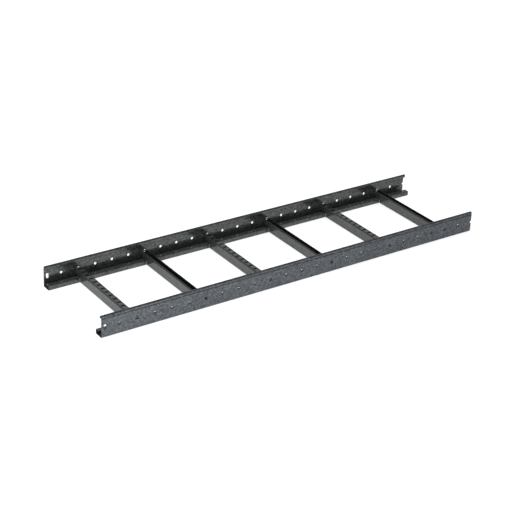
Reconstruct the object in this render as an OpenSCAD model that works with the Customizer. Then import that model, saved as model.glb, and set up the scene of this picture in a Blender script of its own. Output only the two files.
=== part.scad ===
/* [Ladder] */
// Length of the section, cut from longer stock
ladder_length = 1200; // [800:100:2400]
// Overall width over the two side rails
ladder_width = 305; // [200:5:600]
// Thickness of the steel sheet in rails and rungs
sheet = 1.5; // [1:0.1:2]
// Outside radius of every sharp fold
fold_radius = 3; // [2.5:0.1:3.5]

/* [Side rail] */
// Height of the side rail
rail_height = 60; // [54:1:100]
// Width of the bottom flange, web to lip
flange_width = 28.5; // [26:0.5:36]
// Height of the upturned lip on the bottom flange
lip_height = 14; // [10:0.5:16]
// Width of the strip that returns from the lip towards the web
return_width = 14.5; // [8:0.5:16]
// Width of the rolled top edge, from the outer face of the web
top_width = 8.5; // [8:0.5:14]
// Height of the rolled top edge, down to the end of its hook
hook_height = 8; // [6:0.5:10]
// How far the web steps inwards under the top edge
step_depth = 1; // [0.8:0.1:1.4]
// Distance from the top of the rail down to the middle of that step
step_drop = 8; // [7:0.5:10]

/* [Rail holes] */
// Distance from one web hole to the next
hole_pitch = 50; // [25:5:50]
// Diameter of the web holes
hole_diameter = 7.5; // [5:0.5:9]
// Height of the row of web holes above the underside
hole_height = 29; // [28:0.5:32]
// Distance from the slotted end to the centre of the end slot
end_slot_inset = 10; // [8:0.5:12]
// Width of the end slot, along the rail
end_slot_width = 7; // [5:0.5:9]
// Height of the end slot
end_slot_height = 14; // [10:0.5:16]

/* [Rungs] */
// Distance from one rung to the next
rung_spacing = 200; // [100:50:200]
// Width of a rung, along the ladder
rung_width = 20; // [18:1:26]
// Height of a rung above the underside of the rails
rung_height = 29; // [24:1:32]
// Width of the open mouth between a rung's lips
rung_mouth = 12; // [10:0.5:13]
// Length of a tie slot, across the rung's flat side
tie_slot_length = 12; // [8:0.5:13]
// Width of a tie slot
tie_slot_width = 5; // [4:0.5:6]
// Distance from one tie slot to the next
tie_slot_pitch = 20.5; // [16:0.5:30]
// Gap between a rung's notched end and the lip of the rail
notch_gap = 0.5; // [0.2:0.1:1.5]

/* [Hidden] */
$fn = 48;

// Anything longer than this passes right through a sheet, or right across a rung.
through = 4 * sheet;

// The step in the web is two small bends of this angle with a short slope between them.
step_angle = 30;
step_inner_radius = fold_radius - sheet;
step_radii = fold_radius + step_inner_radius;
step_slope = (step_depth - step_radii * (1 - cos(step_angle))) / sin(step_angle);
step_rise = step_radii * sin(step_angle) + step_slope * cos(step_angle);

// One node is one rung, so their number is fixed. They are centred between the ends of the ladder.
rung_count = 6;
first_rung_x = -(rung_count - 1) * rung_spacing / 2;
rung_length = ladder_width - 2 * sheet;
lip_to_lip = ladder_width - 2 * flange_width;

// The holes run from one pitch after the slotted end up to the plain end.
hole_count = floor(ladder_length / hole_pitch);

// Whole slots that fit between the ends of a rung, with one in the middle.
slots_each_side = floor((rung_length - tie_slot_width) / 2 / tie_slot_pitch);

galvanised_web = "slategray";
galvanised_rung = "dimgray";

// Part of a flat ring, clockwise from straight up, for one bend of the sheet.
module bend_sector(inner, outer, angle) {
    reach = 2 * outer;
    intersection() {
        difference() {
            circle(r = outer);
            circle(r = inner);
        }
        polygon([[0, 0], [0, reach], [reach, reach], [reach * sin(angle), reach * cos(angle)]]);
    }
}

// Section of a folded sheet. Each step is [straight run, bend angle, bend radius], with the sheet's
// outer face on the left of the way it runs. A negative angle bends towards that face.
module folded_sheet(steps, i = 0) {
    run = steps[i][0];
    angle = steps[i][1];
    radius = steps[i][2];
    translate([0, -sheet])
        square([run, sheet]);
    if (i + 1 < len(steps))
        translate([run, 0]) {
            if (angle > 0) {
                translate([0, -radius])
                    bend_sector(radius - sheet, radius, angle);
                translate([radius * sin(angle), -radius * (1 - cos(angle))])
                    rotate(-angle)
                        folded_sheet(steps, i + 1);
            } else {
                translate([0, radius])
                    mirror([0, 1])
                        bend_sector(radius, radius + sheet, -angle);
                translate([radius * sin(-angle), radius * (1 - cos(angle))])
                    rotate(-angle)
                        folded_sheet(steps, i + 1);
            }
        }
}

// Section of a side rail: across the ladder from the web's outer face, and up from the underside.
module rail_section() {
    web_below_step = rail_height - step_drop - step_rise / 2 - fold_radius;
    web_above_step = step_drop - step_rise / 2 - fold_radius;
    translate([flange_width - return_width, lip_height])
        folded_sheet([
            [return_width - fold_radius, 90, fold_radius],
            [lip_height - 2 * fold_radius, 90, fold_radius],
            [flange_width - 2 * fold_radius, 90, fold_radius],
            [web_below_step, step_angle, fold_radius],
            [step_slope, -step_angle, step_inner_radius],
            [web_above_step, 90, fold_radius],
            [top_width - step_depth - 2 * fold_radius, 90, fold_radius],
            [hook_height - fold_radius, 0, 0]
        ]);
}

// Vertical slot at one end, for the bolt of a splice plate, with square corners.
module end_slot() {
    translate([end_slot_inset - end_slot_width / 2, -through / 2, hole_height - end_slot_height / 2])
        cube([end_slot_width, through, end_slot_height]);
}

// Row of web holes. The last one falls on the saw cut and leaves half a hole in the plain end.
module web_holes() {
    for (n = [1:hole_count])
        translate([n * hole_pitch, 0, hole_height])
            rotate([90, 0, 0])
                cylinder(d = hole_diameter, h = through, center = true);
}

// Right-hand rail: web on the side of -Y, slotted end at -X.
module side_rail() {
    color(galvanised_web)
        translate([-ladder_length / 2, -ladder_width / 2, 0])
            difference() {
                rotate([90, 0, 90])
                    linear_extrude(height = ladder_length)
                        rail_section();
                end_slot();
                web_holes();
            }
}

// Section of a rung, flat side up: lipped channel, mouth at the bottom.
module rung_section() {
    lip = (rung_width - rung_mouth) / 2;
    side = rung_height - 2 * fold_radius;
    translate([-rung_mouth / 2, 0])
        rotate(180)
            folded_sheet([
                [lip - fold_radius, 90, fold_radius],
                [side, 90, fold_radius],
                [rung_width - 2 * fold_radius, 90, fold_radius],
                [side, 90, fold_radius],
                [lip - fold_radius, 0, 0]
            ]);
}

// One slot for a cable tie, with round ends, through the flat side of a rung.
module tie_slot() {
    centres = (tie_slot_length - tie_slot_width) / 2;
    translate([0, 0, rung_height - through / 2]) {
        translate([-centres, -tie_slot_width / 2, 0])
            cube([2 * centres, tie_slot_width, through]);
        for (side = [-1, 1])
            translate([side * centres, 0, 0])
                cylinder(d = tie_slot_width, h = through);
    }
}

// Rung with its flat side up. Its ends reach the webs over the rails' folded-in flanges,
// and stop at the lips below them.
module rung_flat_up(notch_at_mouth) {
    notch_height = lip_height + notch_gap;
    notch_length = (rung_length - lip_to_lip) / 2 + notch_gap;
    notch_base = notch_at_mouth ? -through : rung_height - notch_height;
    difference() {
        rotate([90, 0, 0])
            linear_extrude(height = rung_length, center = true)
                rung_section();
        for (n = [-slots_each_side:slots_each_side])
            translate([0, n * tie_slot_pitch, 0])
                tie_slot();
        for (side = [-1, 1])
            translate([-rung_width, side * (rung_length - notch_length) / 2 - notch_length / 2, notch_base])
                cube([2 * rung_width, notch_length, notch_height + through]);
    }
}

// Rungs alternate: odd ones have the slotted side up, even ones have the mouth up.
module rung(number) {
    color(galvanised_rung)
        translate([first_rung_x + (number - 1) * rung_spacing, 0, 0])
            if (number % 2 == 1)
                rung_flat_up(true);
            else
                translate([0, 0, rung_height])
                    rotate([0, 180, 0])
                        rung_flat_up(false);
}

mirror([0, 1, 0]) side_rail();  // side_rail_left
side_rail();  // side_rail_right
rung(1);  // rung_1
rung(2);  // rung_2
rung(3);  // rung_3
rung(4);  // rung_4
rung(5);  // rung_5
rung(6);  // rung_6
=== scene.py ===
import math

import bmesh
import bpy
import numpy as np
from mathutils import Euler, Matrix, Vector


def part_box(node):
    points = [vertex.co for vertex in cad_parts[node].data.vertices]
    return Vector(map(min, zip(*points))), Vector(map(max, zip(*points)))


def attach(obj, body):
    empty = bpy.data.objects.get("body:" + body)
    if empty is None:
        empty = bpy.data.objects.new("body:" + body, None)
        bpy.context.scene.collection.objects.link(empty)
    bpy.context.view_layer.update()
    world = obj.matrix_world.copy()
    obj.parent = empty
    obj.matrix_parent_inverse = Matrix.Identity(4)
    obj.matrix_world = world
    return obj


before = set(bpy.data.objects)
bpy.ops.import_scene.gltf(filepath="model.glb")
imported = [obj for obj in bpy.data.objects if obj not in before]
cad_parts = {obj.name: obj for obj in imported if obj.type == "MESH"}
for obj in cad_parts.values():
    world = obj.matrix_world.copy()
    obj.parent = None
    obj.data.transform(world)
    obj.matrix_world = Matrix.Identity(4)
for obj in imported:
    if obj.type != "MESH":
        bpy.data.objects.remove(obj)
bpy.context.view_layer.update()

# Lengths are in metres, angles in degrees, and colours and levels are linear.

# Camera, fitted to the photo. It looks down the ladder from the slotted end of the right rail.
CAMERA_PLACE = (-2.03824, -2.76476, 1.76366)
CAMERA_TURN = (62.7573, -2.5748, -34.5990)
CAMERA_LENS = 99.087
SENSOR_WIDTH = 36.0

# Base colours of the zinc. They are dark, since most of what shows in the metal is mirrored.
RIGHT_RAIL_ZINC = (0.116, 0.128, 0.142)
# The left rail's zinc is written darker than the right rail's: painted shade.
LEFT_RAIL_ZINC_SHADED = (0.112, 0.118, 0.120)
RUNG_ZINC = (0.118, 0.124, 0.1235)
# The welds are written lighter than the sheet: painted highlight, so that the beads show as bright spots.
WELD_ZINC_HIGHLIGHT = (0.30, 0.31, 0.31)
METALLIC = 0.66

# Patterns in the zinc, in cells or waves per metre, with the factors by which they move the tone.
SPANGLE_PER_M = 290.0
GRAIN_PER_M = 950.0
GRAIN_TONE = (0.80, 1.20)
PATCH_PER_M = 30.0
PATCH_TONE = (0.84, 1.16)
STREAK_PER_M = (9.0, 60.0, 140.0)
STREAK_TONE = (0.90, 1.10)
FINE_DETAIL = 3.0
SOFT_DETAIL = 2.0

# A soft noise moves the spangle's cells about, so that their borders aren't straight.
WARP_SCALE = 0.7         # against the spangle's
WARP_REACH = 0.004

# Painted shade in recesses and along edges, and the relief of the crystals.
PAINTED_SHADE_DEPTH = 0.030
EDGE_SAMPLES = 4
EDGE_GAIN = 6.0
CRYSTAL_RELIEF = 0.6     # against the grain's
RELIEF_STRENGTH = 0.25
RELIEF_DEPTH = 0.0001

# The folded sheet of the rail, where the welds sit.
SHEET = 0.0015
LIP_HEIGHT = 0.014
LIP_INSET = 0.0285

# Weld beads.
BEAD_RADIUS = 0.0018
BEAD_ROOT = 0.0008       # how far a bead's axis stands off its surface
BEAD_RIPPLE = 0.0017
BEAD_WAVE = 0.14         # shares of the radius
BEAD_UNEVEN = 0.10
BEAD_TIP = 0.15
BEAD_TAPER = 6
BEAD_RINGS = 28
BEAD_SIDES = 12
LIP_BEAD_FOOT = 0.003    # above the underside of the rail
LIP_BEAD_HEAD = 0.0015   # below the top of its lip
WEB_BEAD_INSET = 0.004   # from each side of the rung

# Sky. The camera sees it white. Mirrors see a ramp over the height they look at, from HORIZON to ZENITH.
SKY_LEVEL = 0.62
HORIZON = 0.04
ZENITH = 0.08
SKY_STOPS = ((0.18, 0.05), (0.32, 0.20), (0.40, 0.56), (0.52, 0.56), (0.60, 0.20), (0.70, 0.08))

# Floor. Mirrors see a painted pool of light on it, which fades to POOL_EDGE between the two distances
# from the middle, along X and Y, and falls off along X by the slope in front of the ladder or the one inside
# it.
FLOOR_SIZE = 16.0
FLOOR_TONE = 0.88
CAMERA_LIFT = 0.45
MIRROR_LIFT = 0.20
POOL_X = (0.80, 1.20)
POOL_Y = (0.26, 0.50)
POOL_EDGE = 0.15
FRONT_Y = (-0.17, -0.12)
FRONT_SLOPE = 0.40
INNER_SLOPE = 0.12

# Lamp, aimed at the middle of the ladder.
LAMP_PLACE = (-2.0, -1.5, 3.0)
LAMP_SIZE = 2.0
LAMP_WATTS = 60.0


# Shader helpers

def math_node(tree, operation, first, second):
    """A Math node on two inputs, each a socket or a number."""
    made = tree.nodes.new("ShaderNodeMath")
    made.operation = operation
    for socket, value in zip(made.inputs, (first, second)):
        if isinstance(value, bpy.types.NodeSocket):
            tree.links.new(value, socket)
        else:
            socket.default_value = value
    return made.outputs[0]


def spread(tree, value, low, high, start=0.0, end=1.0, kind="LINEAR"):
    """Maps a value between start and end onto low to high."""
    made = tree.nodes.new("ShaderNodeMapRange")
    made.interpolation_type = kind
    tree.links.new(value, made.inputs["Value"])
    made.inputs["From Min"].default_value = start
    made.inputs["From Max"].default_value = end
    made.inputs["To Min"].default_value = low
    made.inputs["To Max"].default_value = high
    return made.outputs["Result"]


def scaled(tree, colour, factor):
    """A fixed colour times a socket's value."""
    made = tree.nodes.new("ShaderNodeVectorMath")
    made.operation = "SCALE"
    made.inputs[0].default_value = colour
    tree.links.new(factor, made.inputs["Scale"])
    return made.outputs["Vector"]


def coordinates(tree, kind):
    """X, Y and Z of one kind of texture coordinates, as the outputs of one node."""
    place = tree.nodes.new("ShaderNodeTexCoord")
    split = tree.nodes.new("ShaderNodeSeparateXYZ")
    tree.links.new(place.outputs[kind], split.inputs["Vector"])
    return split.outputs


def pattern_space(tree, scale=(1.0, 1.0, 1.0)):
    """Object coordinates in metres, stretched by scale."""
    place = tree.nodes.new("ShaderNodeTexCoord")
    mapping = tree.nodes.new("ShaderNodeMapping")
    mapping.inputs["Scale"].default_value = scale
    tree.links.new(place.outputs["Object"], mapping.inputs["Vector"])
    return mapping.outputs["Vector"]


def noise(tree, space, scale, detail):
    made = tree.nodes.new("ShaderNodeTexNoise")
    made.inputs["Scale"].default_value = scale
    made.inputs["Detail"].default_value = detail
    tree.links.new(space, made.inputs["Vector"])
    return made.outputs["Fac"]


def edge_mask(tree, radius):
    """1 on sharp edges and 0 on flat faces, from the bevelled and the true normal."""
    bevel = tree.nodes.new("ShaderNodeBevel")
    bevel.samples = EDGE_SAMPLES
    bevel.inputs["Radius"].default_value = radius
    geometry = tree.nodes.new("ShaderNodeNewGeometry")
    dot = tree.nodes.new("ShaderNodeVectorMath")
    dot.operation = "DOT_PRODUCT"
    tree.links.new(bevel.outputs["Normal"], dot.inputs[0])
    tree.links.new(geometry.outputs["Normal"], dot.inputs[1])
    turned = math_node(tree, "SUBTRACT", 1.0, dot.outputs["Value"])
    return math_node(tree, "MINIMUM", math_node(tree, "MULTIPLY", turned, EDGE_GAIN), 1.0)


# Materials

def spangle_cells(tree, space):
    """The random colour of each crystal, as the outputs of one node. Its channels don't follow each other."""
    warped = tree.nodes.new("ShaderNodeVectorMath")
    warped.operation = "MULTIPLY_ADD"
    tree.links.new(noise(tree, space, SPANGLE_PER_M * WARP_SCALE, SOFT_DETAIL), warped.inputs[0])
    warped.inputs[1].default_value = (WARP_REACH, WARP_REACH, WARP_REACH)
    tree.links.new(space, warped.inputs[2])
    cells = tree.nodes.new("ShaderNodeTexVoronoi")
    cells.inputs["Scale"].default_value = SPANGLE_PER_M
    tree.links.new(warped.outputs["Vector"], cells.inputs["Vector"])
    crystal = tree.nodes.new("ShaderNodeSeparateColor")
    tree.links.new(cells.outputs["Color"], crystal.inputs["Color"])
    return crystal.outputs


def zinc(name, tone, spangle=0.45, roughness=(0.12, 0.22), edge_shade_width=0.0024, edge_shade_tone=0.25, recess_shade=0.5):
    """Hot-dip galvanised sheet: spangle, grain, patches and streaks, with painted shade along edges and in
    recesses.
    """
    material = bpy.data.materials.new(name)
    material.use_nodes = True
    tree = material.node_tree
    shader = tree.nodes["Principled BSDF"]
    shader.inputs["Metallic"].default_value = METALLIC

    space = pattern_space(tree)
    crystal = spangle_cells(tree, space)
    grain = noise(tree, space, GRAIN_PER_M, FINE_DETAIL)
    patches = noise(tree, space, PATCH_PER_M, FINE_DETAIL)
    streaks = noise(tree, pattern_space(tree, STREAK_PER_M), 1.0, SOFT_DETAIL)
    # Ambient occlusion darkens the base colour in recesses: painted shade.
    shade_in_hollows = tree.nodes.new("ShaderNodeAmbientOcclusion")
    shade_in_hollows.only_local = True
    shade_in_hollows.inputs["Distance"].default_value = PAINTED_SHADE_DEPTH

    tint = spread(tree, crystal["Red"], 1.0 - spangle, 1.0 + spangle)
    for pattern, low, high in (
        (grain, *GRAIN_TONE),
        (patches, *PATCH_TONE),
        (streaks, *STREAK_TONE),
        # Darker along sharp edges: painted shade at the rims of holes, slots and folds.
        (edge_mask(tree, edge_shade_width), 1.0, edge_shade_tone),
        (shade_in_hollows.outputs["AO"], 1.0 - recess_shade, 1.0),
    ):
        tint = math_node(tree, "MULTIPLY", tint, spread(tree, pattern, low, high))
    tree.links.new(scaled(tree, tone, tint), shader.inputs["Base Color"])

    dull = math_node(tree, "MULTIPLY", crystal["Green"], patches)
    tree.links.new(spread(tree, dull, *roughness), shader.inputs["Roughness"])

    relief = math_node(tree, "MULTIPLY", crystal["Blue"], CRYSTAL_RELIEF)
    bump = tree.nodes.new("ShaderNodeBump")
    bump.inputs["Strength"].default_value = RELIEF_STRENGTH
    bump.inputs["Distance"].default_value = RELIEF_DEPTH
    tree.links.new(math_node(tree, "ADD", grain, relief), bump.inputs["Height"])
    tree.links.new(bump.outputs["Normal"], shader.inputs["Normal"])
    return material


def paint(obj, material):
    obj.data.materials.clear()
    obj.data.materials.append(material)


# Weld beads

def bead(mesh, start, end, outward, seed):
    """Adds one closed, rippled bead from start to end. It bulges along outward."""
    start, end, outward = Vector(start), Vector(end), Vector(outward).normalized()
    along = (end - start).normalized()
    across = along.cross(outward)
    length = (end - start).length
    ripple = np.random.default_rng(seed)
    rings = []
    for i in range(BEAD_RINGS):
        share = i / (BEAD_RINGS - 1)
        taper = math.sqrt(max(0.0, 1.0 - (2.0 * share - 1.0) ** BEAD_TAPER))
        wave = 1.0 + BEAD_WAVE * math.sin(2.0 * math.pi * share * length / BEAD_RIPPLE)
        uneven = 1.0 + BEAD_UNEVEN * ripple.uniform(-1.0, 1.0)
        radius = BEAD_RADIUS * max(taper, BEAD_TIP) * wave * uneven
        centre = start + along * length * share + outward * BEAD_ROOT
        ring = []
        for j in range(BEAD_SIDES):
            angle = 2.0 * math.pi * j / BEAD_SIDES
            rise = max(radius * math.sin(angle), -BEAD_ROOT)
            ring.append(mesh.verts.new(centre + across * radius * math.cos(angle) + outward * rise))
        rings.append(ring)
    for near, far in zip(rings[:-1], rings[1:]):
        for j in range(BEAD_SIDES):
            k = (j + 1) % BEAD_SIDES
            mesh.faces.new((near[j], near[k], far[k], far[j]))
    mesh.faces.new(rings[0][::-1])
    mesh.faces.new(rings[-1])


def weld(rung, side_name, side, material):
    """The welds at one end of a rung: up both its sides at the rail's lip, and across it at the web."""
    low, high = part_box(rung)
    rail_low, rail_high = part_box(f"side_rail_{side_name}")
    edge_y = rail_high.y if side > 0 else rail_low.y
    lip_y = edge_y - side * LIP_INSET
    web_y = edge_y - side * SHEET
    number = int(rung.split("_")[1])
    mesh = bmesh.new()
    for x, away in ((low.x, -1.0), (high.x, 1.0)):
        bead(
            mesh,
            (x, lip_y, LIP_BEAD_FOOT),
            (x, lip_y, LIP_HEIGHT - LIP_BEAD_HEAD),
            (away, -side, 0.0),
            seed=number * 10 + int(away) + 2 * side,
        )
    bead(
        mesh,
        (low.x + WEB_BEAD_INSET, web_y, high.z),
        (high.x - WEB_BEAD_INSET, web_y, high.z),
        (0.0, -side, 1.0),
        seed=number * 10 + 5 + side,
    )
    bmesh.ops.recalc_face_normals(mesh, faces=mesh.faces)
    data = bpy.data.meshes.new(f"weld_{rung}_{side_name}")
    mesh.to_mesh(data)
    mesh.free()
    data.polygons.foreach_set("use_smooth", [True] * len(data.polygons))
    piece = bpy.data.objects.new(data.name, data)
    bpy.context.scene.collection.objects.link(piece)
    paint(piece, material)
    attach(piece, "root")


# Studio

def seen_rays(tree):
    """1 for the rays that show the background: from the camera, a mirror or glass."""
    path = tree.nodes.new("ShaderNodeLightPath")
    seen = math_node(tree, "MAXIMUM", path.outputs["Is Camera Ray"], path.outputs["Is Glossy Ray"])
    return math_node(tree, "MAXIMUM", seen, path.outputs["Is Transmission Ray"])


def painted_light_pool(tree):
    """How bright the floor is in mirrors, against its full level: a painted pool of light, darker away from
    the ladder.
    """
    place = coordinates(tree, "Object")
    light_pool = 1.0
    for axis, (inner, outer) in (("X", POOL_X), ("Y", POOL_Y)):
        distance = math_node(tree, "ABSOLUTE", place[axis], 0.0)
        fade = spread(tree, distance, 1.0, POOL_EDGE, inner, outer, "SMOOTHSTEP")
        light_pool = math_node(tree, "MULTIPLY", light_pool, fade)
    slope = spread(tree, place["Y"], -FRONT_SLOPE, -INNER_SLOPE, *FRONT_Y)
    falloff = math_node(tree, "MULTIPLY", place["X"], slope)
    return math_node(tree, "MULTIPLY", light_pool, math_node(tree, "ADD", falloff, 1.0))


def floor_material():
    """Pale floor that takes the object's shadow and shows as white where nothing shades it."""
    material = bpy.data.materials.new("studio_floor")
    material.use_nodes = True
    tree = material.node_tree
    shader = tree.nodes["Principled BSDF"]
    shader.inputs["Roughness"].default_value = 1.0
    shader.inputs["Specular IOR Level"].default_value = 0.0
    shader.inputs["Emission Color"].default_value = (1.0, 1.0, 1.0, 1.0)

    path = tree.nodes.new("ShaderNodeLightPath")
    level = tree.nodes.new("ShaderNodeMix")
    tree.links.new(path.outputs["Is Glossy Ray"], level.inputs["Factor"])
    level.inputs["A"].default_value = 1.0
    tree.links.new(painted_light_pool(tree), level.inputs["B"])
    pale = (FLOOR_TONE, FLOOR_TONE, FLOOR_TONE)
    tree.links.new(scaled(tree, pale, level.outputs["Result"]), shader.inputs["Base Color"])

    lift = math_node(tree, "MULTIPLY", path.outputs["Is Camera Ray"], CAMERA_LIFT - MIRROR_LIFT)
    lift = math_node(tree, "ADD", lift, math_node(tree, "MULTIPLY", seen_rays(tree), MIRROR_LIFT))
    lift = math_node(tree, "MULTIPLY", lift, level.outputs["Result"])
    tree.links.new(lift, shader.inputs["Emission Strength"])
    return material


def studio_world():
    """A plain light sky, white to the camera. Metal mirrors a ramp, dark at the horizon and overhead."""
    world = bpy.data.worlds.new("studio")
    bpy.context.scene.world = world
    world.use_nodes = True
    tree = world.node_tree
    background = tree.nodes["Background"]
    ramp = tree.nodes.new("ShaderNodeValToRGB")
    tree.links.new(coordinates(tree, "Generated")["Z"], ramp.inputs["Fac"])
    stops = ramp.color_ramp.elements
    stops[0].position, stops[0].color = 0.0, (HORIZON, HORIZON, HORIZON, 1.0)
    stops[1].position, stops[1].color = 1.0, (ZENITH, ZENITH, ZENITH, 1.0)
    for position, level in SKY_STOPS:
        stops.new(position).color = (level, level, level, 1.0)

    path = tree.nodes.new("ShaderNodeLightPath")
    mirrored = tree.nodes.new("ShaderNodeMix")
    mirrored.data_type = "RGBA"
    tree.links.new(path.outputs["Is Glossy Ray"], mirrored.inputs["Factor"])
    mirrored.inputs["A"].default_value = (SKY_LEVEL, SKY_LEVEL, SKY_LEVEL, 1.0)
    tree.links.new(ramp.outputs["Color"], mirrored.inputs["B"])
    shown = tree.nodes.new("ShaderNodeMix")
    shown.data_type = "RGBA"
    tree.links.new(path.outputs["Is Camera Ray"], shown.inputs["Factor"])
    tree.links.new(mirrored.outputs["Result"], shown.inputs["A"])
    shown.inputs["B"].default_value = (1.0, 1.0, 1.0, 1.0)
    tree.links.new(shown.outputs["Result"], background.inputs["Color"])
    background.inputs["Strength"].default_value = 1.0


def build_floor():
    bpy.ops.mesh.primitive_plane_add(size=FLOOR_SIZE, location=(0.0, 0.0, 0.0))
    floor = bpy.context.object
    floor.name = "studio_floor"
    paint(floor, floor_material())


def build_camera():
    data = bpy.data.cameras.new("camera")
    data.sensor_width = SENSOR_WIDTH
    data.lens = CAMERA_LENS
    camera = bpy.data.objects.new("camera", data)
    camera.location = CAMERA_PLACE
    camera.rotation_euler = Euler([math.radians(a) for a in CAMERA_TURN], "XYZ")
    bpy.context.scene.collection.objects.link(camera)
    bpy.context.scene.camera = camera


def build_lamp():
    data = bpy.data.lights.new("key", "AREA")
    data.shape = "SQUARE"
    data.size = LAMP_SIZE
    data.energy = LAMP_WATTS
    lamp = bpy.data.objects.new("key", data)
    lamp.location = LAMP_PLACE
    lamp.rotation_euler = (-Vector(LAMP_PLACE)).to_track_quat("-Z", "Y").to_euler()
    lamp.visible_glossy = False
    bpy.context.scene.collection.objects.link(lamp)


# The rungs take the strongest painted shade, in their slots and along their edges.
rung_zinc = zinc("rung_zinc", RUNG_ZINC, spangle=0.25, edge_shade_width=0.0036, edge_shade_tone=0.10, recess_shade=1.0)
weld_zinc_highlight = zinc("weld_zinc_highlight", WELD_ZINC_HIGHLIGHT, spangle=0.15, roughness=(0.30, 0.50), edge_shade_tone=1.0)

paint(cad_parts["side_rail_left"], zinc("left_rail_zinc_shaded", LEFT_RAIL_ZINC_SHADED))
paint(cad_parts["side_rail_right"], zinc("right_rail_zinc", RIGHT_RAIL_ZINC))
for name in sorted(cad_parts):
    if name.startswith("rung_"):
        paint(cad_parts[name], rung_zinc)
        weld(name, "left", 1, weld_zinc_highlight)
        weld(name, "right", -1, weld_zinc_highlight)

build_floor()
build_camera()
studio_world()
build_lamp()

bpy.context.scene.view_settings.view_transform = "Standard"
